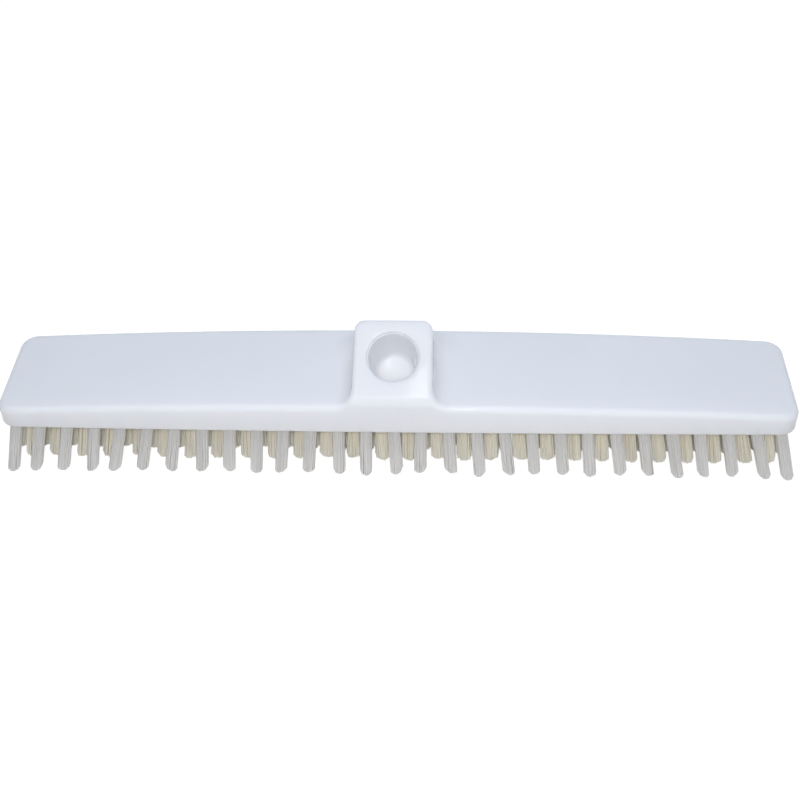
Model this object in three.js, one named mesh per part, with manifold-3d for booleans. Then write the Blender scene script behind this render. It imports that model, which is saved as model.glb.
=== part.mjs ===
// Wide floor broom head: one moulded block with an inclined handle socket, and staggered rows of
// bristle tufts set into its underside, fanned outwards. Millimetres; +X runs along the broom,
// -Y is the side that the handle leans to, +Z is up. The origin is on the floor under the middle
// of the block, where the trimmed bristle tips stand.

import * as THREE from 'three';
import { mergeVertices } from 'three/addons/utils/BufferGeometryUtils.js';
import Module from 'manifold-3d';

const wasm = await Module();
wasm.setup();

const degrees = Math.PI / 180;

// Block
const blockLength = 457;
const blockWidth = 70;
const blockThickness = 18.9;
const topCrown = 6; // how much thinner the block is at its ends
const sideBow = 1.5; // how far each long side draws in at the ends
const cornerRadius = 10;
const topEdgeRadius = 3.2;
const undersideEdgeRadius = 0.6;
const sideDraft = 2 * degrees;

// Handle socket
const handleAngle = 60 * degrees; // the handle's axis above the floor
const boreMouthDiameter = 29.4;
const boreFloorDiameter = 22.4;
const boreLipRadius = 1;
const boreFloorRadius = 1.3;
const boreFloorWall = 2.5; // plastic left between the bore and the tuft backing
const socketSideWall = 6.5; // bore lip to the side of the socket at its ridge
const socketLowerWall = 11.2; // bore lip to the front edge of the mouth face
const socketUpperWall = 6.8; // bore lip to the ridge of the mouth face
const socketFrontRise = 4.4; // front edge of the mouth face above the block's top
const socketBackAngle = 70 * degrees;
const socketSideDraft = 1.5 * degrees;
const socketEdgeRadius = 3;
const socketShoulderRadius = 6; // rounding of the ridge's two ends
const socketCornerRadius = 4.5;
const socketFlareRadius = 7; // hollow fillet where the socket grows out of the block
const socketFrontInset = 0.1; // keeps the socket's front just behind the block's front

// Bristles
const trimLength = 39.5; // bristle length below the block
const tuftDiameter = 7.4;
const tuftTipSpread = 1.07; // a tuft is this much thicker at its tip
const tuftPitch = 15.8;
const endTuftPitch = 14; // the last tuft of a row stands closer to its neighbour
const tuftEndMargin = 5.1; // end of the block to the first tuft
const rowCount = 7;
const rowMargin = 4.3; // long side of the block to the outer row of tufts
const innerRowPitch = 6.6; // between the rows inside the two outer ones
const lengthwiseFan = 18 * degrees; // lean of a tuft at the very end of the block
const crosswiseFan = 7 * degrees; // lean of a tuft at the very edge of the block
const strandsPerTuft = 2;
const strandGap = 0.6;

// Tuft backing, let into the underside
const backingThickness = 3;
const backingBorder = 1.2; // backing round the outermost tufts
const fitGap = 0.3;
const strandRoot = 1.5; // how far a strand runs into its backing

// Facets
const cornerSteps = 7;
const edgeSteps = 6;
const sideSteps = 18;
const boreSteps = 48;
const lipSteps = 4;
const leastCornerRadius = 0.5;
const roundestCorner = 0.98; // a corner's radius as a share of the room it has
const leastSectionStep = 0.05; // height between two sections of the socket
const ridgeFlat = 0.001; // the socket's highest section lies this far below its ridge
const weldDistance = 1e-4;
const roundingSlack = 1e-6;

const halfLength = blockLength / 2;
const halfWidth = blockWidth / 2;
const recessDepth = backingThickness + fitGap;

// Solids and cuts

function toSolid(geometry) {
  const bare = geometry.clone();
  bare.deleteAttribute('normal');
  bare.deleteAttribute('uv');
  const merged = mergeVertices(bare, weldDistance);
  const corners = merged.index.array;
  const triangles = [];
  for (let i = 0; i < corners.length; i += 3) {
    const [a, b, c] = [corners[i], corners[i + 1], corners[i + 2]];
    if (a !== b && b !== c && c !== a) triangles.push(a, b, c);
  }
  return new wasm.Manifold(
    new wasm.Mesh({
      numProp: 3,
      vertProperties: new Float32Array(merged.attributes.position.array),
      triVerts: new Uint32Array(triangles),
    }),
  );
}

function toGeometry(solid) {
  const mesh = solid.getMesh();
  const geometry = new THREE.BufferGeometry();
  geometry.setAttribute('position', new THREE.BufferAttribute(mesh.vertProperties, 3));
  geometry.setIndex(new THREE.BufferAttribute(mesh.triVerts, 1));
  geometry.computeVertexNormals();
  return geometry;
}

// A closed skin through rings of points, from the lowest ring to the highest. Each ring runs along
// its front from -X to +X and returns along its back, so point i faces point n - 1 - i across Y
// and the two ends are closed by strips between them.
function loft(rings) {
  const count = rings[0].length;
  const positions = rings.flat().flatMap((p) => [p.x, p.y, p.z]);
  const index = [];
  for (let r = 0; r + 1 < rings.length; r += 1) {
    for (let i = 0; i < count; i += 1) {
      const low = r * count + i;
      const lowNext = r * count + ((i + 1) % count);
      index.push(low, lowNext, lowNext + count, low, lowNext + count, low + count);
    }
  }
  const top = (rings.length - 1) * count;
  for (let i = 0; i + 1 < count / 2; i += 1) {
    const [a, b, c, d] = [i, i + 1, count - 2 - i, count - 1 - i];
    index.push(a, d, c, a, c, b);
    index.push(top + a, top + b, top + c, top + a, top + c, top + d);
  }
  const geometry = new THREE.BufferGeometry();
  geometry.setAttribute('position', new THREE.Float32BufferAttribute(positions, 3));
  geometry.setIndex(index);
  return geometry;
}

// A ring from its front half: the back half is the same points mirrored in the line y = middle.
function mirroredRing(front, middle = 0) {
  const back = front.map((p) => new THREE.Vector3(p.x, 2 * middle - p.y, p.z)).reverse();
  return [...front, ...back];
}

function quarterArc(centreX, centreY, radius, fromDegrees, steps) {
  return Array.from({ length: steps + 1 }, (_, i) => {
    const angle = (fromDegrees + (90 * i) / steps) * degrees;
    return [centreX + radius * Math.cos(angle), centreY + radius * Math.sin(angle)];
  });
}

// Block

function thicknessAt(x) {
  return blockThickness - topCrown * (x / halfLength) ** 2;
}

// A closed outline with rounded corners and bowed long sides: sideY gives the half width at x and
// heightAt the height at x.
function outlineRing(halfX, sideY, radius, heightAt) {
  const cornerX = halfX - radius;
  const cornerY = radius - sideY(cornerX);
  const front = quarterArc(-cornerX, cornerY, radius, 180, cornerSteps);
  for (let i = 1; i < sideSteps; i += 1) {
    const x = -cornerX + (2 * cornerX * i) / sideSteps;
    front.push([x, -sideY(x)]);
  }
  front.push(...quarterArc(cornerX, cornerY, radius, 270, cornerSteps));
  return mirroredRing(front.map(([x, y]) => new THREE.Vector3(x, y, heightAt(x))));
}

// The block's own outline, drawn in by inset.
function blockRing(inset, heightAt) {
  const sideY = (x) => halfWidth - inset - sideBow * (x / halfLength) ** 2;
  const radius = Math.max(cornerRadius - inset, leastCornerRadius);
  return outlineRing(halfLength - inset, sideY, radius, heightAt);
}

function blockBody() {
  const draftAt = (height) => height * Math.tan(sideDraft);
  const rings = [];
  for (let i = 0; i <= lipSteps; i += 1) {
    const turn = (90 * degrees * i) / lipSteps;
    const inset = undersideEdgeRadius * (1 - Math.sin(turn));
    const height = undersideEdgeRadius * (1 - Math.cos(turn));
    rings.push(blockRing(inset + draftAt(height), () => height));
  }
  for (let i = 0; i <= edgeSteps; i += 1) {
    const turn = (90 * degrees * i) / edgeSteps;
    const inset = topEdgeRadius * (1 - Math.cos(turn)) + draftAt(blockThickness - topEdgeRadius);
    const drop = topEdgeRadius * (1 - Math.sin(turn));
    rings.push(blockRing(inset, (x) => thicknessAt(x) - drop));
  }
  return toSolid(loft(rings));
}

// Socket: its side profile is the block's front wall, the mouth face square to the handle, a
// rounded ridge and a steep back wall. Points here are [y, z] above the underside.

const lipDiameter = boreMouthDiameter + 2 * boreLipRadius;
const socketHalfWidth = lipDiameter / 2 + socketSideWall;
const mouthFaceLength = socketLowerWall + lipDiameter + socketUpperWall;
const mouthNormal = [-Math.cos(handleAngle), Math.sin(handleAngle)];
const mouthSlope = [Math.sin(handleAngle), Math.cos(handleAngle)];
const frontNormal = [-Math.cos(sideDraft), Math.sin(sideDraft)];
const backNormal = [Math.sin(socketBackAngle), Math.cos(socketBackAngle)];

const frontEdgeZ = blockThickness + socketFrontRise;
const frontEdge = [-halfWidth + socketFrontInset + frontEdgeZ * Math.tan(sideDraft), frontEdgeZ];
const alongMouth = (distance) => [
  frontEdge[0] + distance * mouthSlope[0],
  frontEdge[1] + distance * mouthSlope[1],
];
const ridge = alongMouth(mouthFaceLength);
const mouthCentre = alongMouth(socketLowerWall + lipDiameter / 2);

// Centre of the circle that rounds the corner between two walls with these outward normals.
function roundingCentre(corner, normalA, normalB, radius) {
  const area = normalA[0] * normalB[1] - normalA[1] * normalB[0];
  return [
    corner[0] - (radius * (normalB[1] - normalA[1])) / area,
    corner[1] - (radius * (normalA[0] - normalB[0])) / area,
  ];
}

const frontRounding = roundingCentre(frontEdge, frontNormal, mouthNormal, socketEdgeRadius);
const ridgeRounding = roundingCentre(ridge, mouthNormal, backNormal, socketEdgeRadius);
const socketTop = ridgeRounding[1] + socketEdgeRadius;

const chord = (radius, offset) => Math.sqrt(Math.max(radius ** 2 - offset ** 2, 0));

// The height at which a rounding circle meets the wall with this normal.
const tangentZ = (centre, normal) => centre[1] + socketEdgeRadius * normal[1];

function socketFrontY(z) {
  if (z > tangentZ(ridgeRounding, mouthNormal)) {
    return ridgeRounding[0] - chord(socketEdgeRadius, z - ridgeRounding[1]);
  }
  if (z > tangentZ(frontRounding, mouthNormal)) {
    return frontEdge[0] + (z - frontEdge[1]) * Math.tan(handleAngle);
  }
  if (z > tangentZ(frontRounding, frontNormal)) {
    return frontRounding[0] - chord(socketEdgeRadius, z - frontRounding[1]);
  }
  return frontEdge[0] - (frontEdge[1] - z) * Math.tan(sideDraft);
}

// How far the hollow fillet at the socket's foot stands out at height z.
function flareAt(z) {
  const above = Math.min(Math.max(z - blockThickness, 0), socketFlareRadius);
  return socketFlareRadius - chord(socketFlareRadius, socketFlareRadius - above);
}

function socketBackY(z) {
  if (z > tangentZ(ridgeRounding, backNormal)) {
    return ridgeRounding[0] + chord(socketEdgeRadius, z - ridgeRounding[1]);
  }
  return ridge[0] + (ridge[1] - z) / Math.tan(socketBackAngle) + flareAt(z);
}

function socketHalfWidthAt(z) {
  const shoulder = Math.max(z - (socketTop - socketShoulderRadius), 0);
  const rounding = socketShoulderRadius - chord(socketShoulderRadius, shoulder);
  const draft = (ridge[1] - z) * Math.tan(socketSideDraft);
  return socketHalfWidth + draft + flareAt(z) - rounding;
}

function socketRing(z) {
  const frontY = socketFrontY(z);
  const backY = socketBackY(z);
  const halfX = socketHalfWidthAt(z);
  const room = roundestCorner * Math.min((backY - frontY) / 2, halfX);
  const radius = Math.min(socketCornerRadius, room);
  const left = quarterArc(-halfX + radius, frontY + radius, radius, 180, edgeSteps);
  const right = quarterArc(halfX - radius, frontY + radius, radius, 270, edgeSteps);
  const front = [...left, ...right].map(([x, y]) => new THREE.Vector3(x, y, z));
  return mirroredRing(front, (frontY + backY) / 2);
}

// The heights of the socket's sections: close together on every rounding, far apart on flat walls.
function socketHeights() {
  const heights = [blockThickness - topEdgeRadius];
  for (let i = 0; i <= edgeSteps; i += 1) {
    const turn = (90 * degrees * i) / edgeSteps;
    heights.push(blockThickness + socketFlareRadius * (1 - Math.cos(turn)));
    heights.push(socketTop - socketShoulderRadius * (1 - Math.sin(turn)) - ridgeFlat);
    const lean = sideDraft + ((handleAngle - sideDraft) * i) / edgeSteps;
    heights.push(frontRounding[1] + socketEdgeRadius * Math.sin(lean));
  }
  heights.push(tangentZ(ridgeRounding, mouthNormal), tangentZ(ridgeRounding, backNormal));
  heights.sort((a, b) => a - b);
  return heights.filter((z, i) => i === 0 || z - heights[i - 1] > leastSectionStep);
}

function socketBody() {
  return toSolid(loft(socketHeights().map(socketRing)));
}

// Tuft pattern: staggered rows, with the tufts of every second row half way between their
// neighbours. The inner rows stand close together and an outer row stands apart on each side. The
// tufts lean outwards along and across the block, in proportion to how far they stand from its
// middle.

const longestRow = blockLength - 2 * tuftEndMargin - tuftDiameter;
const evenSteps = Math.floor((longestRow - 2 * endTuftPitch) / tuftPitch + roundingSlack);
const evenReach = (evenSteps * tuftPitch) / 2;
const rowReach = evenReach + endTuftPitch;
const outerRowY = halfWidth - rowMargin - tuftDiameter / 2;
const fanX = Math.tan(lengthwiseFan) / halfLength;
const fanY = Math.tan(crosswiseFan) / halfWidth;

function rowY(row) {
  if (row === 0) return -outerRowY;
  if (row === rowCount - 1) return outerRowY;
  return (row - (rowCount - 1) / 2) * innerRowPitch;
}

function tuftXs(row) {
  const even = Array.from({ length: evenSteps + 1 }, (_, i) => i * tuftPitch - evenReach);
  const long = [-rowReach, ...even, rowReach];
  return row % 2 === 0 ? long : long.slice(1).map((x, i) => (x + long[i]) / 2);
}

// Outline of the tuft backing, or with a clearance of the recess that it lies in.
function backingRing(clearance, height) {
  const margin = tuftDiameter / 2 + backingBorder + clearance;
  return outlineRing(rowReach + margin, () => outerRowY + margin, margin, () => height);
}

function backingRecess() {
  const below = -undersideEdgeRadius;
  return toSolid(loft([backingRing(fitGap, below), backingRing(fitGap, recessDepth)]));
}

// Handle bore: a blind taper, square to the mouth face, with a rounded lip. It stops above the
// tuft backing, so its depth follows from the plastic that is left under its lowest corner.
const boreLowestZ = recessDepth + boreFloorWall;
const boreDepth =
  (mouthCentre[1] - boreLowestZ - (boreFloorDiameter / 2) * Math.cos(handleAngle)) /
  Math.sin(handleAngle);

function handleBore() {
  const mouthRadius = boreMouthDiameter / 2;
  const flatRadius = boreFloorDiameter / 2 - boreFloorRadius;
  const profile = [new THREE.Vector2(0, -boreDepth)];
  for (let i = 0; i <= lipSteps; i += 1) {
    const turn = (90 * degrees * i) / lipSteps;
    const x = flatRadius + boreFloorRadius * Math.sin(turn);
    profile.push(new THREE.Vector2(x, -boreDepth + boreFloorRadius * (1 - Math.cos(turn))));
  }
  for (let i = 0; i <= lipSteps; i += 1) {
    const turn = (90 * degrees * i) / lipSteps;
    const x = mouthRadius + boreLipRadius * (1 - Math.cos(turn));
    profile.push(new THREE.Vector2(x, -boreLipRadius * (1 - Math.sin(turn))));
  }
  const clear = socketLowerWall; // the cutter runs on past the mouth
  profile.push(new THREE.Vector2(mouthRadius + boreLipRadius, clear));
  profile.push(new THREE.Vector2(0, clear));
  const bore = new THREE.LatheGeometry(profile, boreSteps);
  bore.rotateX(Math.PI - handleAngle);
  bore.translate(0, mouthCentre[0], mouthCentre[1]);
  return toSolid(bore);
}

function brushBlock() {
  return blockBody().add(socketBody()).subtract(handleBore()).subtract(backingRecess());
}

// Bristles: every tuft is a round bundle drawn as a front and a rear strand.

// The four corners of one strand's section on the tuft's rim, as offsets from the tuft's axis.
function strandSection(strand, radius) {
  const middle = (360 * degrees * strand) / strandsPerTuft - 90 * degrees;
  const reach = (180 * degrees) / strandsPerTuft - Math.asin(strandGap / 2 / radius);
  const angles = [-1, -1 / 3, 1 / 3, 1].map((share) => middle + share * reach);
  return angles.map((angle) => [radius * Math.cos(angle), radius * Math.sin(angle)]);
}

// Corner points and triangles of one strand, from inside its backing down to the floor.
function addStrand(positions, index, x, y, strand) {
  const start = positions.length / 3;
  const section = strandSection(strand, tuftDiameter / 2);
  for (const z of [-trimLength, strandRoot]) {
    const spread = 1 - ((tuftTipSpread - 1) * z) / trimLength;
    for (const [dx, dy] of section) {
      positions.push(x * (1 - fanX * z) + spread * dx, y * (1 - fanY * z) + spread * dy, z);
    }
  }
  const sides = section.length;
  const top = start + sides;
  for (let i = 0; i < sides; i += 1) {
    const next = (i + 1) % sides;
    index.push(start + i, start + next, top + next, start + i, top + next, top + i);
  }
  index.push(start, start + 2, start + 1, start, start + 3, start + 2);
  index.push(top, top + 1, top + 2, top, top + 2, top + 3);
}

function strandsOf(rows) {
  const positions = [];
  const index = [];
  for (const row of rows) {
    for (const x of tuftXs(row)) {
      for (let strand = 0; strand < strandsPerTuft; strand += 1) {
        addStrand(positions, index, x, rowY(row), strand);
      }
    }
  }
  const geometry = new THREE.BufferGeometry();
  geometry.setAttribute('position', new THREE.Float32BufferAttribute(positions, 3));
  geometry.setIndex(index);
  return toSolid(geometry);
}

// The slice of backing that carries these rows, reaching half way to the rows beside them.
function backingOf(rows) {
  const field = toSolid(loft([backingRing(0, 0), backingRing(0, backingThickness)]));
  const [first, last] = [rows[0], rows[rows.length - 1]];
  const seamY = (row) => (rowY(row - 1) + rowY(row)) / 2;
  const fromY = first === 0 ? -blockWidth : seamY(first) + fitGap / 2;
  const toY = last === rowCount - 1 ? blockWidth : seamY(last + 1) - fitGap / 2;
  const band = new THREE.BoxGeometry(2 * blockLength, toY - fromY, 4 * backingThickness);
  band.translate(0, (fromY + toY) / 2, 0);
  return field.intersect(toSolid(band));
}

function tuftRows(rows) {
  return backingOf(rows).add(strandsOf(rows));
}

// Assembly

const whitePlastic = new THREE.MeshStandardMaterial({ color: 0xe9edf3, roughness: 0.3 });
const whiteBristle = new THREE.MeshStandardMaterial({ color: 0xdcdcda, roughness: 0.55 });
const ivoryBristle = new THREE.MeshStandardMaterial({ color: 0xded3bd, roughness: 0.55 });

function piece(name, solid, material) {
  const mesh = new THREE.Mesh(toGeometry(solid), material);
  mesh.name = name;
  return mesh;
}

const allRows = Array.from({ length: rowCount }, (_, row) => row);

// The head's own frame is the middle of the block's underside.
const head = new THREE.Group();
head.position.z = trimLength;
head.add(piece('brush_block', brushBlock(), whitePlastic));
head.add(piece('front_tuft_row', tuftRows(allRows.slice(0, 1)), whiteBristle));
head.add(piece('inner_tuft_rows', tuftRows(allRows.slice(1, -1)), ivoryBristle));
head.add(piece('rear_tuft_row', tuftRows(allRows.slice(-1)), whiteBristle));

const broom = new THREE.Group();
broom.add(head);

export default broom;
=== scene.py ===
import math

import bmesh
import bpy
import numpy as np
from mathutils import Matrix, Vector


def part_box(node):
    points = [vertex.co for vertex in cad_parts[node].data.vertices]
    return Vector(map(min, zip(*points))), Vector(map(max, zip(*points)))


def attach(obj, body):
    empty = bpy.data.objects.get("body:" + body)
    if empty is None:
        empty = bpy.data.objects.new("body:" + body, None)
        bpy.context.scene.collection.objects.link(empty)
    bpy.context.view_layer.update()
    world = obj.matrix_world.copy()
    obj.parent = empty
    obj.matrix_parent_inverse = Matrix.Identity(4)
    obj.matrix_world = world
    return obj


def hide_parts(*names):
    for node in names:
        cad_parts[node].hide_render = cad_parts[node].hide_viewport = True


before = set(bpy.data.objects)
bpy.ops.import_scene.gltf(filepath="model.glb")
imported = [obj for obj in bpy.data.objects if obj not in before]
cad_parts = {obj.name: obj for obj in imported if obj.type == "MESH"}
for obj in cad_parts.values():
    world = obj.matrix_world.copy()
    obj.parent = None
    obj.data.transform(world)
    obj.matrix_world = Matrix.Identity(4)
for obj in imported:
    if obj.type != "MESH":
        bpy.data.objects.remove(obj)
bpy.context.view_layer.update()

# Moulded block
# One injection moulding in white polypropylene, arched along its top and rounded on every edge.
# The handle socket grows out of its middle in hollow fillets, with a blind tapered bore square to
# its sloping face, and the tufts sit in leaning holes drilled into the flat underside.

MM = 0.001
block_low, block_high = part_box("brush_block")
HALF_LENGTH = block_high.x / MM
HALF_WIDTH = block_high.y / MM
TRIM = block_low.z / MM  # height of the underside above the floor that the tips stand on

THICKNESS = 18.9
TOP_CROWN = 6  # how much thinner the block is at its ends
SIDE_BOW = 1.5  # how far each long side draws in at the ends
SIDE_DRAFT = math.tan(math.radians(2))
CORNER_RADIUS = 10
TOP_EDGE_RADIUS = 3.2
UNDERSIDE_EDGE_RADIUS = 0.6

HANDLE_ANGLE = math.radians(60)
BORE_RADIUS = 14.9
BORE_DEPTH = 29.3
FLOOR_RADIUS = 11.2
FLOOR_CORNER_RADIUS = 3
LIP_RADIUS = 0.8
LEDGE_DEPTH = 1.8  # a narrow ledge runs round the bore just inside its mouth
LEDGE_WIDTH = 0.8
LEDGE_EDGE_RADIUS = 0.2
SOCKET_HALF_WIDTH = 22.2
SOCKET_DRAFT = math.tan(math.radians(1.5))
SOCKET_FRONT_RISE = 4.4  # front edge of the mouth face above the block's top
MOUTH_CENTRE_UP = 26.9  # up the mouth face from its front edge to the middle of the bore
MOUTH_LENGTH = 49.4
BACK_ANGLE = math.radians(70)
SOCKET_CORNER_RADIUS = 6
MOUTH_EDGE_RADIUS = 2.4
FLARE_RADIUS = 8  # hollow fillet between the socket and the block's top
FRONT_FLARE = 2  # how much wider the flare grows towards the block's front
FRONT_FLARE_LENGTH = 14
BACK_FLARE = 8  # how much wider it grows towards the block's rear
BACK_FLARE_LENGTH = 26

front_z = THICKNESS + SOCKET_FRONT_RISE
front_y = front_z * SIDE_DRAFT - HALF_WIDTH
up_face = np.array([math.sin(HANDLE_ANGLE), math.cos(HANDLE_ANGLE)])
mouth_y, mouth_z = np.array([front_y, front_z]) + MOUTH_CENTRE_UP * up_face
ridge_y, ridge_z = np.array([front_y, front_z]) + MOUTH_LENGTH * up_face


def rounded_and(a, b, radius):
    """Distance from the overlap of two forms, with the edge between them rounded."""
    corner = np.hypot(np.maximum(a + radius, 0), np.maximum(b + radius, 0))
    return np.minimum(np.maximum(a, b), -radius) + corner


def block_form(points):
    """Distance from the moulded surface in mm, negative in the plastic, open below the underside."""
    x, y, z = np.abs(points[..., 0]), points[..., 1], points[..., 2]
    outwards = (x / HALF_LENGTH) ** 2
    long_side = np.abs(y) - HALF_WIDTH + SIDE_BOW * outwards
    walls = rounded_and(x - HALF_LENGTH, long_side, CORNER_RADIUS) + z * SIDE_DRAFT
    top = z - THICKNESS + TOP_CROWN * outwards

    mouth = (z - front_z) * math.sin(HANDLE_ANGLE) - (y - front_y) * math.cos(HANDLE_ANGLE)
    back = (y - ridge_y) * math.sin(BACK_ANGLE) + (z - ridge_z) * math.cos(BACK_ANGLE)
    side = x - SOCKET_HALF_WIDTH + (z - ridge_z) * SOCKET_DRAFT
    pillar = rounded_and(side, back, SOCKET_CORNER_RADIUS)
    forwards = np.clip(1 - (y + HALF_WIDTH) / FRONT_FLARE_LENGTH, 0, 1)
    backwards = np.clip(y / BACK_FLARE_LENGTH, 0, 1)
    growth = backwards**2 * (3 - 2 * backwards)
    flare = FLARE_RADIUS + FRONT_FLARE * forwards**2 + BACK_FLARE * growth
    flared = -rounded_and(-top, -pillar, flare)
    socket = rounded_and(flared, mouth, MOUTH_EDGE_RADIUS)
    return rounded_and(socket, walls, TOP_EDGE_RADIUS)


def slope(form, points, step=0.01):
    """Gradient of a form at each point."""
    sides = [form(points + d) - form(points - d) for d in step * np.eye(3)]
    return np.stack(sides, -1) / (2 * step)


CLOSING_ROUNDS = 8  # rounds in which the vertices close in on the surface


def skin(form, xs, ys, zs):
    """Vertices and quads on a form's surface: one vertex in each grid cell that the surface crosses."""
    inside = form(np.stack(np.meshgrid(xs, ys, zs, indexing="ij"), -1)) < 0
    ends = (slice(None, -1), slice(1, None))
    filled = sum(inside[a, b, c].astype(int) for a in ends for b in ends for c in ends)
    crossed = (filled > 0) & (filled < 8)  # some of a cell's eight corners are inside
    number = np.full(crossed.shape, -1)
    number[crossed] = np.arange(crossed.sum())
    middles = [(lines[:-1] + lines[1:]) / 2 for lines in (xs, ys, zs)]
    points = np.stack(np.meshgrid(*middles, indexing="ij"), -1)[crossed]
    for _ in range(CLOSING_ROUNDS):
        gradient = slope(form, points)
        points -= gradient * (form(points) / (gradient**2).sum(-1))[:, None]
    quads = []
    for axis in range(3):
        order = [axis, (axis + 1) % 3, (axis + 2) % 3]
        solid, cell = inside.transpose(order), number.transpose(order)
        near, far = solid[:-1, 1:-1, 1:-1], solid[1:, 1:-1, 1:-1]
        i, j, k = np.nonzero(near != far)
        around = (cell[i, j, k], cell[i, j + 1, k], cell[i, j + 1, k + 1], cell[i, j, k + 1])
        ring = np.stack(around, -1)
        leaving = near[i, j, k]
        quads += [ring[leaving], ring[~leaving][:, ::-1]]
    return points, np.concatenate(quads)


def grid_lines(*stretches):
    """Grid lines along one axis, from stretches of start, end and step."""
    parts = [np.arange(start, end, step) for start, end, step in stretches]
    return np.concatenate(parts)


FINE = 0.7
LONG = 2.9
END_ZONE = 14  # fine grid at the rounded ends
SOCKET_ZONE = 40  # fine grid round the socket
MARGIN = 2
xs = grid_lines(
    (-HALF_LENGTH - MARGIN, -HALF_LENGTH + END_ZONE, FINE),
    (-HALF_LENGTH + END_ZONE, -SOCKET_ZONE, LONG),
    (-SOCKET_ZONE, SOCKET_ZONE, FINE),
    (SOCKET_ZONE, HALF_LENGTH - END_ZONE, LONG),
    (HALF_LENGTH - END_ZONE, HALF_LENGTH + MARGIN, FINE),
)
ys = grid_lines((-HALF_WIDTH - MARGIN, HALF_WIDTH + MARGIN, FINE))
zs = grid_lines((UNDERSIDE_EDGE_RADIUS - FINE / 2, ridge_z + MARGIN, FINE))
points, quads = skin(block_form, xs, ys, zs)
moulding = bmesh.new()
corners = [moulding.verts.new(p) for p in points]
for quad in quads:
    moulding.faces.new([corners[i] for i in quad])

# The bore is turned about its own axis: lip, ledge, tapered wall and floor, from the outside in.
# An arc of its section is a centre, given by its distance from the axis and its depth, a radius,
# and the turns at which the arc starts and ends.
BORE_SIDES = 96
ARC_STEPS = 6
lip_out = BORE_RADIUS + LIP_RADIUS
wall_radius = BORE_RADIUS - LEDGE_WIDTH
taper = math.atan((wall_radius - FLOOR_RADIUS) / (BORE_DEPTH - LEDGE_DEPTH))
corner_out = FLOOR_RADIUS + FLOOR_CORNER_RADIUS * (math.tan(taper) - 1 / math.cos(taper))
ledge_edge = (wall_radius + LEDGE_EDGE_RADIUS, LEDGE_DEPTH + LEDGE_EDGE_RADIUS)
to_mouth, to_axis, to_floor = -math.pi / 2, -math.pi, math.pi / 2
section = []
for (out, depth), radius, first, last in (
    ((lip_out, LIP_RADIUS), LIP_RADIUS, to_mouth, to_axis),
    ((BORE_RADIUS, LEDGE_DEPTH), 0, 0, 0),
    (ledge_edge, LEDGE_EDGE_RADIUS, to_mouth, to_axis),
    ((corner_out, BORE_DEPTH - FLOOR_CORNER_RADIUS), FLOOR_CORNER_RADIUS, taper, to_floor),
):
    for turn in np.linspace(first, last, ARC_STEPS + 1 if radius else 1):
        section.append((out + radius * math.cos(turn), depth + radius * math.sin(turn)))

CLEARING = 2  # the skin is cut open this far outside the lip
bore_axis = Vector((0, math.cos(HANDLE_ANGLE), -math.sin(HANDLE_ANGLE)))
across_mouth, up_mouth = Vector((1, 0, 0)), Vector((0, *up_face))
mouth_centre = Vector((0, mouth_y, mouth_z))
for vert in list(moulding.verts):
    offset = vert.co - mouth_centre
    if abs(offset.dot(bore_axis)) < FINE and offset.length < lip_out + CLEARING:
        moulding.verts.remove(vert)
bore_edges = [e for e in moulding.edges if e.is_boundary and e.verts[0].co.z > THICKNESS]


def circle(sides):
    """Cosine and sine of evenly spaced turns."""
    turns = [2 * math.pi * i / sides for i in range(sides)]
    return [(math.cos(turn), math.sin(turn)) for turn in turns]


rings = []
for out, depth in section:
    centre = mouth_centre + depth * bore_axis
    ring = [centre + out * (c * across_mouth + s * up_mouth) for c, s in circle(BORE_SIDES)]
    rings.append([moulding.verts.new(p) for p in ring])
for outer_ring, inner_ring in zip(rings, rings[1:]):
    for i in range(BORE_SIDES):
        moulding.faces.new((outer_ring[i - 1], outer_ring[i], inner_ring[i], inner_ring[i - 1]))
moulding.faces.new(rings[-1])
bore_edges += [moulding.edges.get((rings[0][i - 1], rings[0][i])) for i in range(BORE_SIDES)]
bmesh.ops.triangle_fill(moulding, use_beauty=True, edges=bore_edges, normal=-bore_axis)

# The underside's edge is rounded inwards from the lowest ring of the walls.
EDGE_STEPS = 3
rim_edges = [e for e in moulding.edges if e.is_boundary]
for vert in {v for e in rim_edges for v in e.verts}:
    vert.co.z = UNDERSIDE_EDGE_RADIUS
inset_before = 0
for i in range(1, EDGE_STEPS + 1):
    turn = math.pi / 2 * i / EDGE_STEPS
    inset = UNDERSIDE_EDGE_RADIUS * (1 - math.cos(turn))
    made = bmesh.ops.extrude_edge_only(moulding, edges=rim_edges)["geom"]
    verts = [g for g in made if isinstance(g, bmesh.types.BMVert)]
    rim_edges = [g for g in made if isinstance(g, bmesh.types.BMEdge) and g.is_boundary]
    outward = slope(block_form, np.array([v.co for v in verts]))
    for vert, (nx, ny, _) in zip(verts, outward):
        vert.co.x -= nx * (inset - inset_before)
        vert.co.y -= ny * (inset - inset_before)
        vert.co.z = UNDERSIDE_EDGE_RADIUS * (1 - math.sin(turn))
    inset_before = inset

# The tuft pattern: close inner rows and an outer row apart on each side, every second row set half
# way between its neighbours, each tuft leaning outwards by its distance from the block's middle.
TUFT_DIAMETER = 7.4
TUFT_PITCH = 15.8
END_PITCH = 14.0  # the last tuft of a row stands closer to its neighbour
EVEN_TUFTS = 27
ROW_MARGIN = 4.3  # long side of the block to the outer row
INNER_ROWS = 5
INNER_PITCH = 7.2
STAGGER_SHIFT = 0.4  # how far right of half way the tufts of every second row stand
WELL_DEPTH = 5
WELL_DIAMETER = 8.0
WELL_SIDES = 16
OUTER_FAN = math.tan(math.radians(18)) / HALF_LENGTH
INNER_FAN = math.tan(math.radians(15)) / HALF_LENGTH
CROSSWISE_FAN = math.tan(math.radians(7)) / HALF_WIDTH


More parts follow.
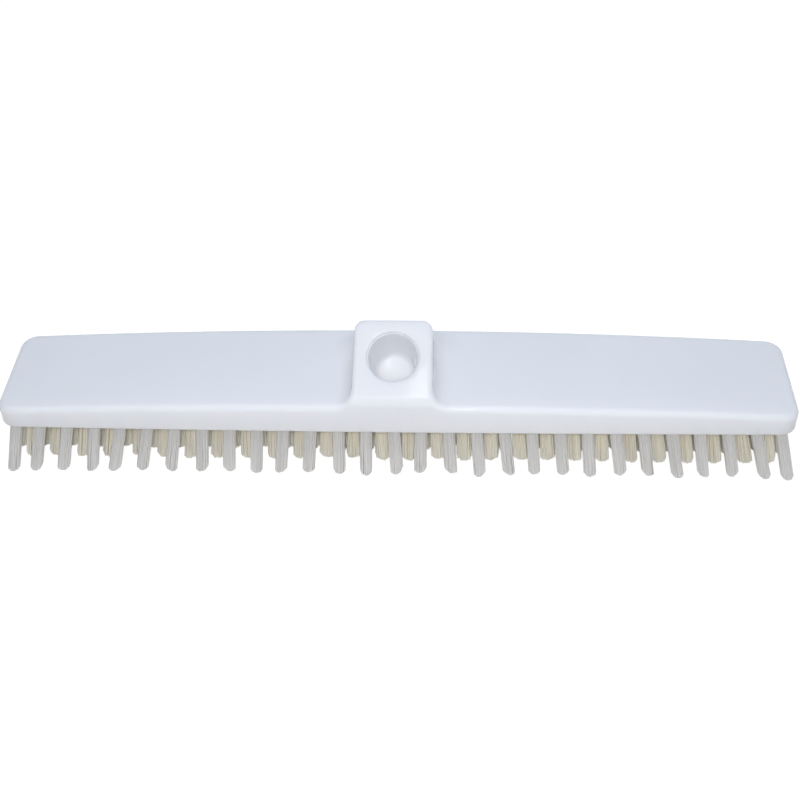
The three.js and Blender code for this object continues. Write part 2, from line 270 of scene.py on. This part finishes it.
def tuft_row(xs, y, fan):
    """Where each tuft of a row stands, and how it runs for each mm below the underside."""
    return [(Vector((x, y, 0)), Vector((fan * x, CROSSWISE_FAN * y, -1))) for x in xs]


even_xs = (np.arange(EVEN_TUFTS) - (EVEN_TUFTS - 1) / 2) * TUFT_PITCH
long_row = np.array([even_xs[0] - END_PITCH, *even_xs, even_xs[-1] + END_PITCH])
short_row = (long_row[:-1] + long_row[1:]) / 2 + STAGGER_SHIFT
outer_y = HALF_WIDTH - ROW_MARGIN - TUFT_DIAMETER / 2
inner_ys = (np.arange(INNER_ROWS) - (INNER_ROWS - 1) / 2) * INNER_PITCH
tuft_rows = [
    tuft_row(long_row, -outer_y, OUTER_FAN),
    *(tuft_row(long_row if i % 2 else short_row, y, INNER_FAN) for i, y in enumerate(inner_ys)),
    tuft_row(long_row, outer_y, OUTER_FAN),
]

for root, lean in [tuft for row in tuft_rows for tuft in row]:
    ring = [root + Vector((c, s, 0)) * WELL_DIAMETER / 2 for c, s in circle(WELL_SIDES)]
    rim = [moulding.verts.new(p) for p in ring]
    bottom = [moulding.verts.new(p - WELL_DEPTH * lean) for p in ring]
    for i in range(WELL_SIDES):
        moulding.faces.new((rim[i - 1], rim[i], bottom[i], bottom[i - 1]))
        rim_edges.append(moulding.edges.get((rim[i - 1], rim[i])))
    moulding.faces.new(bottom)
bmesh.ops.triangle_fill(moulding, use_beauty=True, edges=rim_edges, normal=(0, 0, -1))
bmesh.ops.recalc_face_normals(moulding, faces=moulding.faces)
in_place = Matrix.Scale(MM, 4) @ Matrix.Translation((0, 0, TRIM))
bmesh.ops.transform(moulding, matrix=in_place, verts=moulding.verts)


def mesh_piece(name, mesh, material):
    """A mesh as a piece in the scene, in one material."""
    piece = bpy.data.objects.new(name, mesh)
    bpy.context.scene.collection.objects.link(piece)
    mesh.materials.clear()
    mesh.materials.append(material)
    return piece


def linear(hex_colour):
    """An sRGB hex colour as the linear red, green, blue and alpha that a socket takes."""
    shares = [int(hex_colour[i : i + 2], 16) / 255 for i in (1, 3, 5)]
    return [c / 12.92 if c <= 0.04045 else ((c + 0.055) / 1.055) ** 2.4 for c in shares] + [1]


def add_node(tree, kind, inputs=(), **settings):
    """Adds a node with its settings, then a value or a link for its sockets, by order or by name.
    Returns its first output."""
    node = tree.nodes.new(kind)
    for name, value in settings.items():
        setattr(node, name, value)
    sockets = [s for s in node.inputs if s.enabled]
    for key, value in inputs.items() if isinstance(inputs, dict) else enumerate(inputs):
        socket = next(s for i, s in enumerate(sockets) if key in (i, s.name))
        if isinstance(value, bpy.types.NodeSocket):
            tree.links.new(value, socket)
        else:
            socket.default_value = value
    return next((s for s in node.outputs if s.enabled), None)


def new_material(name):
    """An empty node material and its tree."""
    material = bpy.data.materials.new(name)
    material.use_nodes = True
    material.node_tree.nodes.clear()
    return material, material.node_tree


def per_mm(size):
    """Scale of a noise whose features are this many mm across."""
    return 1 / (size * MM)


# Injection-moulded polypropylene: a cool white with a soft gloss from the polished mould. The eye
# sees slow drifts of tone from the flow of the melt, and a faint waviness in the reflections.
POLYPROPYLENE_IOR = 1.49
FLOW_SIZE = 70
FLOW_DETAIL = 3
SMOOTHEST, ROUGHEST = 0.06, 0.09
RIPPLE_SIZE = 9
RIPPLE_HEIGHT = 0.02
RIPPLE_STRENGTH = 0.3
MILKINESS = 0.75
LIGHT_REACH = 8  # how far light travels in the plastic
plastic, tree = new_material("moulded_white_polypropylene")
place = add_node(tree, "ShaderNodeTexCoord").node.outputs["Object"]
flow = add_node(
    tree,
    "ShaderNodeTexNoise",
    {"Vector": place, "Scale": per_mm(FLOW_SIZE), "Detail": FLOW_DETAIL},
)
tone = add_node(
    tree,
    "ShaderNodeMix",
    {"Factor": flow, "A": linear("#ECECEE"), "B": linear("#F1F1F2")},
    data_type="RGBA",
)
gloss = add_node(
    tree, "ShaderNodeMapRange", {"Value": flow, "To Min": SMOOTHEST, "To Max": ROUGHEST}
)
ripple = add_node(tree, "ShaderNodeTexNoise", {"Vector": place, "Scale": per_mm(RIPPLE_SIZE)})
wavy = add_node(
    tree,
    "ShaderNodeBump",
    {"Strength": RIPPLE_STRENGTH, "Distance": RIPPLE_HEIGHT * MM, "Height": ripple},
)
shader = add_node(
    tree,
    "ShaderNodeBsdfPrincipled",
    {
        "Base Color": tone,
        "Roughness": gloss,
        "IOR": POLYPROPYLENE_IOR,
        "Normal": wavy,
        "Subsurface Weight": MILKINESS,
        "Subsurface Radius": (1, 1, 1),
        "Subsurface Scale": LIGHT_REACH * MM,
    },
)
add_node(tree, "ShaderNodeOutputMaterial", [shader])

SHARP_ANGLE = math.radians(40)
block_mesh = bpy.data.meshes.new("moulded_block")
moulding.to_mesh(block_mesh)
moulding.free()
block_mesh.shade_smooth()
block_mesh.set_sharp_from_angle(angle=SHARP_ANGLE)
block = mesh_piece("moulded_block", block_mesh, plastic)
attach(block, "root")
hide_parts("brush_block")

# Bristle tufts
# Each tuft is a bundle of drawn polypropylene filaments, folded over a wire anchor and driven into
# its hole. The outer rows are white and the rows between them ivory, and all are trimmed level,
# with the worn ends a little rounded and uneven.

FILAMENTS = 84
BUNDLE_DIAMETER = 7.6
FILAMENT_DIAMETER = 0.9  # coarser than the real ones, so that they show
FILAMENT_SIDES = 5
FILAMENT_STEPS = 5
OUTER_SPREAD = 0.0  # how much wider a tuft is at its tip
INNER_SPREAD = 0.3
OUTER_ROUNDING = 2.8  # how much shorter a tuft is at its edge
INNER_ROUNDING = 1.2
TRIM_SLANT = 1.5  # how far one side of a tuft is trimmed short
TRIM_FRAY = 0.3
OUTER_STANCE = 0.05  # uneven lean of the tufts along the block, per mm below it
INNER_STANCE = 0.03
WANDER = 0.35  # how far a filament strays at its tip
ROOT_CLEARANCE = 0.3
GOLDEN_ANGLE = math.radians(137.508)
TUFT_TURN = 1.0  # how far the pattern of a tuft is turned from its neighbour's, in radians
SEED = 11
SEED_STEP = 7  # from one row to the next

bristles = bpy.data.node_groups.new("bristle_row", "GeometryNodeTree")
outer_sizes = {
    "Filaments": FILAMENTS,
    "Filament diameter": FILAMENT_DIAMETER * MM,
    "Tuft radius": (BUNDLE_DIAMETER - FILAMENT_DIAMETER) / 2 * MM,
    "Trim": TRIM * MM,
    "Root depth": (WELL_DEPTH - ROOT_CLEARANCE) * MM,
    "Tip spread": OUTER_SPREAD,
    "Tip rounding": OUTER_ROUNDING * MM,
    "Trim slant": TRIM_SLANT * MM,
    "Trim fray": TRIM_FRAY * MM,
    "Stance": OUTER_STANCE,
    "Wander": WANDER * MM,
    "Seed": SEED,
}
inner_sizes = {
    **outer_sizes,
    "Tip spread": INNER_SPREAD,
    "Tip rounding": INNER_ROUNDING * MM,
    "Stance": INNER_STANCE,
}
bristles.interface.new_socket("Roots", in_out="INPUT", socket_type="NodeSocketGeometry")
for name, value in outer_sizes.items():
    kind = "NodeSocketInt" if isinstance(value, int) else "NodeSocketFloat"
    bristles.interface.new_socket(name, in_out="INPUT", socket_type=kind)
bristles.interface.new_socket("Finish", in_out="INPUT", socket_type="NodeSocketMaterial")
bristles.interface.new_socket("Bristles", in_out="OUTPUT", socket_type="NodeSocketGeometry")
given = bristles.nodes.new("NodeGroupInput").outputs

copies = add_node(
    bristles,
    "GeometryNodeDuplicateElements",
    {"Geometry": given["Roots"], "Amount": given["Filaments"]},
    domain="POINT",
)
number = copies.node.outputs["Duplicate Index"]
filament = add_node(bristles, "GeometryNodeInputIndex")
tuft = add_node(bristles, "GeometryNodeInputNamedAttribute", ["tuft"], data_type="INT")
lean = add_node(bristles, "GeometryNodeInputNamedAttribute", ["lean"], data_type="FLOAT_VECTOR")
root = add_node(bristles, "GeometryNodeInputPosition")

# Where a filament stands in its tuft: a sunflower pattern, turned differently in each tuft.
later = add_node(bristles, "ShaderNodeMath", [number, 0.5], operation="ADD")
order = add_node(bristles, "ShaderNodeMath", [later, given["Filaments"]], operation="DIVIDE")
share = add_node(bristles, "ShaderNodeMath", [order, 0.5], operation="POWER")
turned = add_node(bristles, "ShaderNodeMath", [tuft, TUFT_TURN], operation="MULTIPLY")
turn = add_node(
    bristles, "ShaderNodeMath", [number, GOLDEN_ANGLE, turned], operation="MULTIPLY_ADD"
)
out = add_node(bristles, "ShaderNodeCombineXYZ", [share])
disc = add_node(
    bristles, "ShaderNodeVectorRotate", {"Vector": out, "Angle": turn}, rotation_type="Z_AXIS"
)
spot = add_node(bristles, "ShaderNodeVectorMath", [disc, given["Tuft radius"]], operation="SCALE")

# Chance: how a tuft is trimmed and leans, how a filament strays, and its tone.
next_seed = add_node(bristles, "ShaderNodeMath", [given["Seed"], 1], operation="ADD")
cut, sway, stray = [
    add_node(
        bristles,
        "FunctionNodeRandomValue",
        {"Min": (-1, -1, 0), "Max": (1, 1, 0), "ID": owner, "Seed": seed},
        data_type="FLOAT_VECTOR",
    )
    for owner, seed in ((tuft, given["Seed"]), (tuft, next_seed), (filament, given["Seed"]))
]
tint = add_node(
    bristles, "FunctionNodeRandomValue", {"ID": filament, "Seed": next_seed}, data_type="FLOAT"
)

# How far short of the floor a filament ends.
tilt = add_node(bristles, "ShaderNodeVectorMath", [disc, cut], operation="DOT_PRODUCT")
most = add_node(bristles, "ShaderNodeVectorMath", [cut], operation="LENGTH")
short = add_node(
    bristles,
    "ShaderNodeMath",
    [tilt.node.outputs["Value"], most.node.outputs["Value"]],
    operation="ADD",
)
slanted = add_node(bristles, "ShaderNodeMath", [short, given["Trim slant"]], operation="MULTIPLY")
rounded = add_node(
    bristles, "ShaderNodeMath", [order, given["Tip rounding"], slanted], operation="MULTIPLY_ADD"
)
frayed = add_node(
    bristles, "ShaderNodeMath", [tint, given["Trim fray"], rounded], operation="MULTIPLY_ADD"
)
below = add_node(bristles, "ShaderNodeMath", [given["Trim"], frayed], operation="SUBTRACT")
whole = add_node(bristles, "ShaderNodeMath", [below, given["Root depth"]], operation="ADD")

# A filament runs from its root in the hole to its tip, bending a little on the way. A tuft strays
# half as far across the block as along it.
across = add_node(bristles, "ShaderNodeMath", [given["Stance"], 2], operation="DIVIDE")
flat = add_node(bristles, "ShaderNodeCombineXYZ", [given["Stance"], across])
leaning = add_node(
    bristles, "ShaderNodeVectorMath", [sway, flat, lean], operation="MULTIPLY_ADD"
)
raised = add_node(
    bristles, "ShaderNodeVectorMath", [leaning, given["Root depth"]], operation="SCALE"
)
foot = add_node(bristles, "ShaderNodeVectorMath", [root, spot], operation="ADD")
start = add_node(bristles, "ShaderNodeVectorMath", [foot, raised], operation="SUBTRACT")
run = add_node(bristles, "ShaderNodeVectorMath", [leaning, whole], operation="SCALE")
reach = add_node(
    bristles, "ShaderNodeVectorMath", [spot, given["Tip spread"], run], operation="MULTIPLY_ADD"
)
sideways = add_node(bristles, "ShaderNodeCombineXYZ", [given["Wander"], given["Wander"]])
bend = add_node(bristles, "ShaderNodeVectorMath", [stray, sideways], operation="MULTIPLY")

stored = copies
for name, value, kind in (
    ("start", start, "FLOAT_VECTOR"),
    ("reach", reach, "FLOAT_VECTOR"),
    ("bend", bend, "FLOAT_VECTOR"),
    ("tone", tint, "FLOAT"),
):
    stored = add_node(
        bristles,
        "GeometryNodeStoreNamedAttribute",
        {"Geometry": stored, "Name": name, "Value": value},
        data_type=kind,
        domain="POINT",
    )
line = add_node(bristles, "GeometryNodeCurvePrimitiveLine")
path = add_node(
    bristles, "GeometryNodeResampleCurve", {"Curve": line, "Count": FILAMENT_STEPS + 1}
)
placed = add_node(
    bristles, "GeometryNodeInstanceOnPoints", {"Points": stored, "Instance": path}
)
paths = add_node(bristles, "GeometryNodeRealizeInstances", [placed])
along = add_node(bristles, "GeometryNodeSplineParameter")
along_twice = add_node(bristles, "ShaderNodeMath", [along, along], operation="MULTIPLY")
start, reach, bend = [
    add_node(bristles, "GeometryNodeInputNamedAttribute", [name], data_type="FLOAT_VECTOR")
    for name in ("start", "reach", "bend")
]
straight = add_node(
    bristles, "ShaderNodeVectorMath", [reach, along, start], operation="MULTIPLY_ADD"
)
bent = add_node(
    bristles, "ShaderNodeVectorMath", [bend, along_twice, straight], operation="MULTIPLY_ADD"
)
laid = add_node(bristles, "GeometryNodeSetPosition", {"Geometry": paths, "Position": bent})
marked = add_node(
    bristles,
    "GeometryNodeStoreNamedAttribute",
    {"Geometry": laid, "Name": "along", "Value": along},
    data_type="FLOAT",
    domain="POINT",
)
half = add_node(bristles, "ShaderNodeMath", [given["Filament diameter"], 2], operation="DIVIDE")
outline = add_node(
    bristles, "GeometryNodeCurvePrimitiveCircle", {"Resolution": FILAMENT_SIDES, "Radius": half}
)
drawn = add_node(
    bristles,
    "GeometryNodeCurveToMesh",
    {"Curve": marked, "Profile Curve": outline, "Fill Caps": True},
)
smooth = add_node(bristles, "GeometryNodeSetShadeSmooth", [drawn])
whole_row = add_node(bristles, "GeometryNodeRealizeInstances", [smooth])
finished = add_node(
    bristles, "GeometryNodeSetMaterial", {"Geometry": whole_row, "Material": given["Finish"]}
)
add_node(bristles, "NodeGroupOutput", [finished])

ROOT_SHARE = 0.2  # share of a filament's length that keeps the painted shade of its root, where the block's underside shades it
TIP_LIGHT = 0.7  # how far its tip has come out of the painted shade to the light tone
STRAND_LIGHT = 0.3  # how much of that tone a filament may add by chance
SLEEKEST, DULLEST = 0.38, 0.52
FILAMENT_MILKINESS = 0.4
FILAMENT_LIGHT_REACH = 0.8


def filament_material(name, shade, light):
    """Drawn polypropylene filament: a satin sheen along each strand, strands that differ a little in
    tone, and painted shade that darkens each strand towards its root under the block and fades to a
    paler tone at its tip. The eye sees fine soft streaks down each tuft."""
    material, tree = new_material(name)
    strand = add_node(tree, "ShaderNodeAttribute", attribute_name="tone").node.outputs["Fac"]
    length = add_node(tree, "ShaderNodeAttribute", attribute_name="along").node.outputs["Fac"]
    # Painted shade: darker towards the root, where the block's underside shades the tuft, and lighter
    # towards the tip.
    painted_shade_fade = add_node(
        tree, "ShaderNodeMapRange", {"Value": length, "From Min": ROOT_SHARE, "To Max": TIP_LIGHT}
    )
    paler = add_node(
        tree, "ShaderNodeMath", [strand, STRAND_LIGHT, painted_shade_fade], operation="MULTIPLY_ADD"
    )
    pale = add_node(
        tree,
        "ShaderNodeMix",
        {"Factor": paler, "A": linear(shade), "B": linear(light)},
        data_type="RGBA",
    )
    sheen = add_node(
        tree, "ShaderNodeMapRange", {"Value": strand, "To Min": SLEEKEST, "To Max": DULLEST}
    )
    shader = add_node(
        tree,
        "ShaderNodeBsdfPrincipled",
        {
            "Base Color": pale,
            "Roughness": sheen,
            "IOR": POLYPROPYLENE_IOR,
            "Subsurface Weight": FILAMENT_MILKINESS,
            "Subsurface Radius": (1, 1, 1),
            "Subsurface Scale": FILAMENT_LIGHT_REACH * MM,
        },
    )
    add_node(tree, "ShaderNodeOutputMaterial", [shader])
    return material


def bristle_row(name, tufts, sizes, finish):
    """One row of tufts as a plain mesh piece."""
    mesh = bpy.data.meshes.new(name)
    mesh.from_pydata([(root + Vector((0, 0, TRIM))) * MM for root, _ in tufts], [], [])
    leans = mesh.attributes.new("lean", "FLOAT_VECTOR", "POINT")
    leans.data.foreach_set("vector", [share for _, lean in tufts for share in lean])
    numbers = mesh.attributes.new("tuft", "INT", "POINT")
    numbers.data.foreach_set("value", range(len(tufts)))
    piece = mesh_piece(name, mesh, finish)
    modifier = piece.modifiers.new("bristles", "NODES")
    modifier.node_group = bristles
    for socket in bristles.interface.items_tree:
        if socket.in_out == "INPUT" and socket.name in sizes:
            modifier[socket.identifier] = sizes[socket.name]
        elif socket.name == "Finish":
            modifier[socket.identifier] = finish
    grown = piece.evaluated_get(bpy.context.evaluated_depsgraph_get())
    piece_mesh = bpy.data.meshes.new_from_object(grown)
    piece.modifiers.remove(modifier)
    piece.data = piece_mesh
    for spare in ("start", "reach", "bend", "lean", "tuft"):
        if spare in piece_mesh.attributes:
            piece_mesh.attributes.remove(piece_mesh.attributes[spare])
    return piece


# The first colour of each is the painted shade at the roots under the block, the second the paler tone
# at the tips.
white_filament = filament_material("drawn_white_filament", "#D2CFCA", "#F4F1EC")
ivory_filament = filament_material("drawn_ivory_filament", "#FFF0D3", "#FFFBEC")
outer = (outer_sizes, white_filament, "white_bristle")
inner = (inner_sizes, ivory_filament, "ivory_bristle")
for row, (name, node, (sizes, finish, slot)) in enumerate((
    ("front_row_bristles", "front_tuft_row", outer),
    ("second_row_bristles", "inner_tuft_rows", inner),
    ("third_row_bristles", "inner_tuft_rows", inner),
    ("fourth_row_bristles", "inner_tuft_rows", inner),
    ("fifth_row_bristles", "inner_tuft_rows", inner),
    ("sixth_row_bristles", "inner_tuft_rows", inner),
    ("rear_row_bristles", "rear_tuft_row", outer),
)):
    row_sizes = {**sizes, "Seed": SEED + SEED_STEP * row}
    piece = bristle_row(name, tuft_rows[row], row_sizes, finish)
    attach(piece, "root")
    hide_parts(node)

# Stage
# A plain white floor in a white surround. A small lamp beside the camera and a large bluish one
# behind the broom light it, with pale light from all round, and strips and a card give the gleams.

FLOOR_SIZE = 6
FLOOR_GLOW = 0.91  # what the floor shows of its own, so that it looks white
FLOOR_SHADOW = "#898989"  # what it adds where it is lit, which carries the shadow
FLOOR_BOUNCE = "#D4CFC7"  # what it throws back on the broom
white = linear("#FFFFFF")


def seen_part(tree):
    """1 for what the camera sees, straight or in a gleam, and 0 for light on its way to a surface."""
    rays = add_node(tree, "ShaderNodeLightPath").node.outputs
    seen = rays["Is Camera Ray"]
    for kind in ("Is Glossy Ray", "Is Transmission Ray"):
        seen = add_node(tree, "ShaderNodeMath", [seen, rays[kind]], operation="MAXIMUM")
    return seen


half_floor = FLOOR_SIZE / 2
floor_mesh = bpy.data.meshes.new("floor")
floor_mesh.from_pydata(
    [(half_floor * x, half_floor * y, 0) for x, y in ((-1, -1), (1, -1), (1, 1), (-1, 1))],
    [],
    [(0, 1, 2, 3)],
)
floor_paint, tree = new_material("white_floor")
surface = add_node(tree, "ShaderNodeBsdfDiffuse", {"Color": linear(FLOOR_SHADOW)})
glow = add_node(tree, "ShaderNodeEmission", {"Color": white, "Strength": FLOOR_GLOW})
shown = add_node(tree, "ShaderNodeAddShader", [surface, glow])
bounce = add_node(tree, "ShaderNodeBsdfDiffuse", {"Color": linear(FLOOR_BOUNCE)})
paint = add_node(tree, "ShaderNodeMixShader", [seen_part(tree), bounce, shown])
clear = add_node(tree, "ShaderNodeBsdfTransparent")
behind = add_node(tree, "ShaderNodeNewGeometry").node.outputs["Backfacing"]
one_sided = add_node(tree, "ShaderNodeMixShader", [behind, paint, clear])
add_node(tree, "ShaderNodeOutputMaterial", [one_sided])
floor = mesh_piece("floor", floor_mesh, floor_paint)

FILL_STRENGTH = 0.35
FILL_COLOUR = "#EAF1FF"
world = bpy.data.worlds.new("studio")
bpy.context.scene.world = world
world.use_nodes = True
tree = world.node_tree
tree.nodes.clear()
fill = add_node(
    tree, "ShaderNodeBackground", {"Color": linear(FILL_COLOUR), "Strength": FILL_STRENGTH}
)
surround = add_node(tree, "ShaderNodeBackground", {"Color": white, "Strength": 1})
sky = add_node(tree, "ShaderNodeMixShader", [seen_part(tree), fill, surround])
add_node(tree, "ShaderNodeOutputWorld", [sky])

# Lamps: name, azimuth and elevation in degrees, distance, width and height in metres, power, colour.
# The strips and the card show in the gloss, and the card lights nothing else.
middle = Vector((0, 0, TRIM * MM))
for name, azimuth, elevation, distance, wide, high, power, colour in (
    ("key", 3.5, 45, 0.85, 0.1, 0.1, 3.75, "#F7FAFF"),
    ("strip", 6, 46, 0.85, 0.05, 0.3, 0.3, "#FFFFFF"),
    ("card", 0, 62, 0.8, 1.2, 0.2, 1.0, "#FFFFFF"),
    ("high_strip", -1, 68, 0.8, 0.03, 0.25, 0.08, "#FFFFFF"),
    ("overhead", 180, 55, 1.0, 0.9, 0.9, 2.5, "#D2E7FF"),
):
    azimuth, elevation = math.radians(azimuth), math.radians(elevation)
    towards = Vector((
        math.sin(azimuth) * math.cos(elevation),
        -math.cos(azimuth) * math.cos(elevation),
        math.sin(elevation),
    ))
    data = bpy.data.lights.new(name, "AREA")
    data.shape = "RECTANGLE"
    data.energy = power
    data.size = wide
    data.size_y = high
    data.color = linear(colour)[:3]
    lamp = bpy.data.objects.new(name, data)
    lamp.location = middle + distance * towards
    lamp.rotation_euler = (-towards).to_track_quat("-Z", "Y").to_euler()
    lamp.visible_glossy = name in ("strip", "high_strip", "card")
    lamp.visible_diffuse = name != "card"
    bpy.context.scene.collection.objects.link(lamp)

# Camera: in front of the broom, above it and a little to the right, tipped slightly.
CAMERA_YAW = math.radians(3.55)
CAMERA_ELEVATION = math.radians(44)
CAMERA_ROLL = math.radians(-1.925)
CAMERA_DISTANCE = 716.7
CAMERA_AIM = Vector((2.62, 0, 31.8))
LENS = 54.24
SENSOR = 36
backwards = Vector((
    math.sin(CAMERA_YAW) * math.cos(CAMERA_ELEVATION),
    -math.cos(CAMERA_YAW) * math.cos(CAMERA_ELEVATION),
    math.sin(CAMERA_ELEVATION),
))
level = Vector((math.cos(CAMERA_YAW), math.sin(CAMERA_YAW), 0))
upright = backwards.cross(level)
right = math.cos(CAMERA_ROLL) * level + math.sin(CAMERA_ROLL) * upright
up = backwards.cross(right)
camera_data = bpy.data.cameras.new("camera")
camera_data.lens = LENS
camera_data.sensor_width = SENSOR
camera = bpy.data.objects.new("camera", camera_data)
facing = Matrix((right, up, backwards)).transposed().to_4x4()
camera_place = (CAMERA_AIM + CAMERA_DISTANCE * backwards) * MM
camera.matrix_world = Matrix.Translation(camera_place) @ facing
bpy.context.scene.collection.objects.link(camera)
bpy.context.scene.camera = camera
bpy.context.scene.view_settings.view_transform = "Standard"
